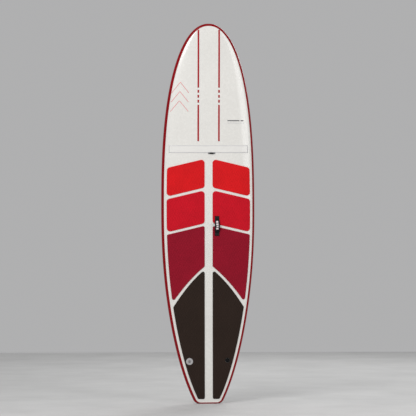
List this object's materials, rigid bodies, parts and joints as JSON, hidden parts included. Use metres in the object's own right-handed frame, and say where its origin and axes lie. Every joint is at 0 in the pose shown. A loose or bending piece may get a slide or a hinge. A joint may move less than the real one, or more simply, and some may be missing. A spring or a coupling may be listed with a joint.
{
  "type": "stand up paddleboard",
  "caption": "Rigid stand up paddleboard with foam core, laminate skins, deck pads, webbing carry handle, screw vent, leash plug, tie-down loop and three fins in slotted boxes.",
  "frame": {"origin": "middle of the flat tail end, where the board stands on the floor", "axes": "+Z along the board to the nose, -Y out of the deck, +Y out of the bottom, +X to the right of a viewer facing the deck"},
  "size_m": [0.791, 0.3662, 3.2],
  "materials": {
    "eps_foam": "matte",
    "dense_foam": "matte",
    "stringer_wood": "satin",
    "white_laminate": "gloss",
    "crimson_laminate": "gloss",
    "pad_red": "matte",
    "pad_rose": "matte",
    "pad_wine": "matte",
    "pad_brown": "matte",
    "webbing": "matte",
    "black_plastic": "satin",
    "fin_plastic": "satin",
    "grey_plastic": "satin",
    "black_steel": "satin",
    "steel": "satin",
    "rubber": "matte",
    "membrane": "matte"
  },
  "bodies": {
    "board": {"foam_core_left": "eps_foam", "foam_core_right": "eps_foam", "fin_block": "dense_foam", "handle_inserts": "dense_foam", "stringer": "stringer_wood", "deck_skin": "white_laminate", "bottom_skin": "white_laminate", "deck_patch": "white_laminate", "rail_left": "crimson_laminate", "rail_right": "crimson_laminate", "nose_block": "crimson_laminate", "tail_block": "crimson_laminate", "pad_1_left": "pad_red", "pad_1_right": "pad_red", "pad_2_left": "pad_rose", "pad_2_right": "pad_rose", "pad_3_left": "pad_wine", "pad_3_right": "pad_wine", "pad_4_left": "pad_brown", "pad_4_right": "pad_brown", "handle_strap": "webbing", "handle_sleeve": "webbing", "loop_strap": "webbing", "handle_plates": "black_plastic", "leash_cup": "black_plastic", "fin_box": "black_plastic", "side_box_left": "black_plastic", "side_box_right": "black_plastic", "vent_body": "grey_plastic", "loop_inserts": "grey_plastic", "handle_screws": "black_steel", "leash_bar": "black_steel", "loop_screws": "steel", "grub_screws_left": "steel", "grub_screws_right": "steel", "vent_membrane": "membrane"},
    "vent_seal": {"vent_o_ring": "rubber"},
    "vent_plug": {"vent_screw": "grey_plastic"},
    "fin_carriage": {"centre_fin": "fin_plastic", "fin_cross_pin": "steel", "fin_plate": "steel"},
    "fin_clamp_screw": {"fin_screw": "steel"},
    "left_side_fin": {"side_fin_left": "fin_plastic"},
    "right_side_fin": {"side_fin_right": "fin_plastic"}
  },
  "joints": [
    {"name": "vent_lift", "type": "slide", "parent": "board", "child": "vent_seal", "axis": [0, -1, 0], "range_m": [0, 0.00525]},
    {"name": "vent_turn", "type": "hinge", "parent": "vent_seal", "child": "vent_plug", "pos_m": [-0.163, -0.02884, 0.357], "axis": [0, -1, 0], "range_deg": [0, 1080]},
    {"name": "fin_slide", "type": "slide", "parent": "board", "child": "fin_carriage", "axis": [0, -0.0439, -0.999], "range_m": [-0.018, 0.042]},
    {"name": "fin_screw_turn", "type": "hinge", "parent": "fin_carriage", "child": "fin_clamp_screw", "pos_m": [0, 0.04338, 0.40791], "axis": [0, 0.999, -0.0439], "range_deg": [0, 360]},
    {"name": "left_fin_pull", "type": "slide", "parent": "board", "child": "left_side_fin", "axis": [-0.0872, 0.9954, -0.041], "range_m": [0, 0.03]},
    {"name": "right_fin_pull", "type": "slide", "parent": "board", "child": "right_side_fin", "axis": [0.0872, 0.9954, -0.041], "range_m": [0, 0.03]}
  ],
  "couplings": [
    {"joint": "vent_turn", "follows": "vent_lift", "rad_per_m": 3590.4}
  ]
}
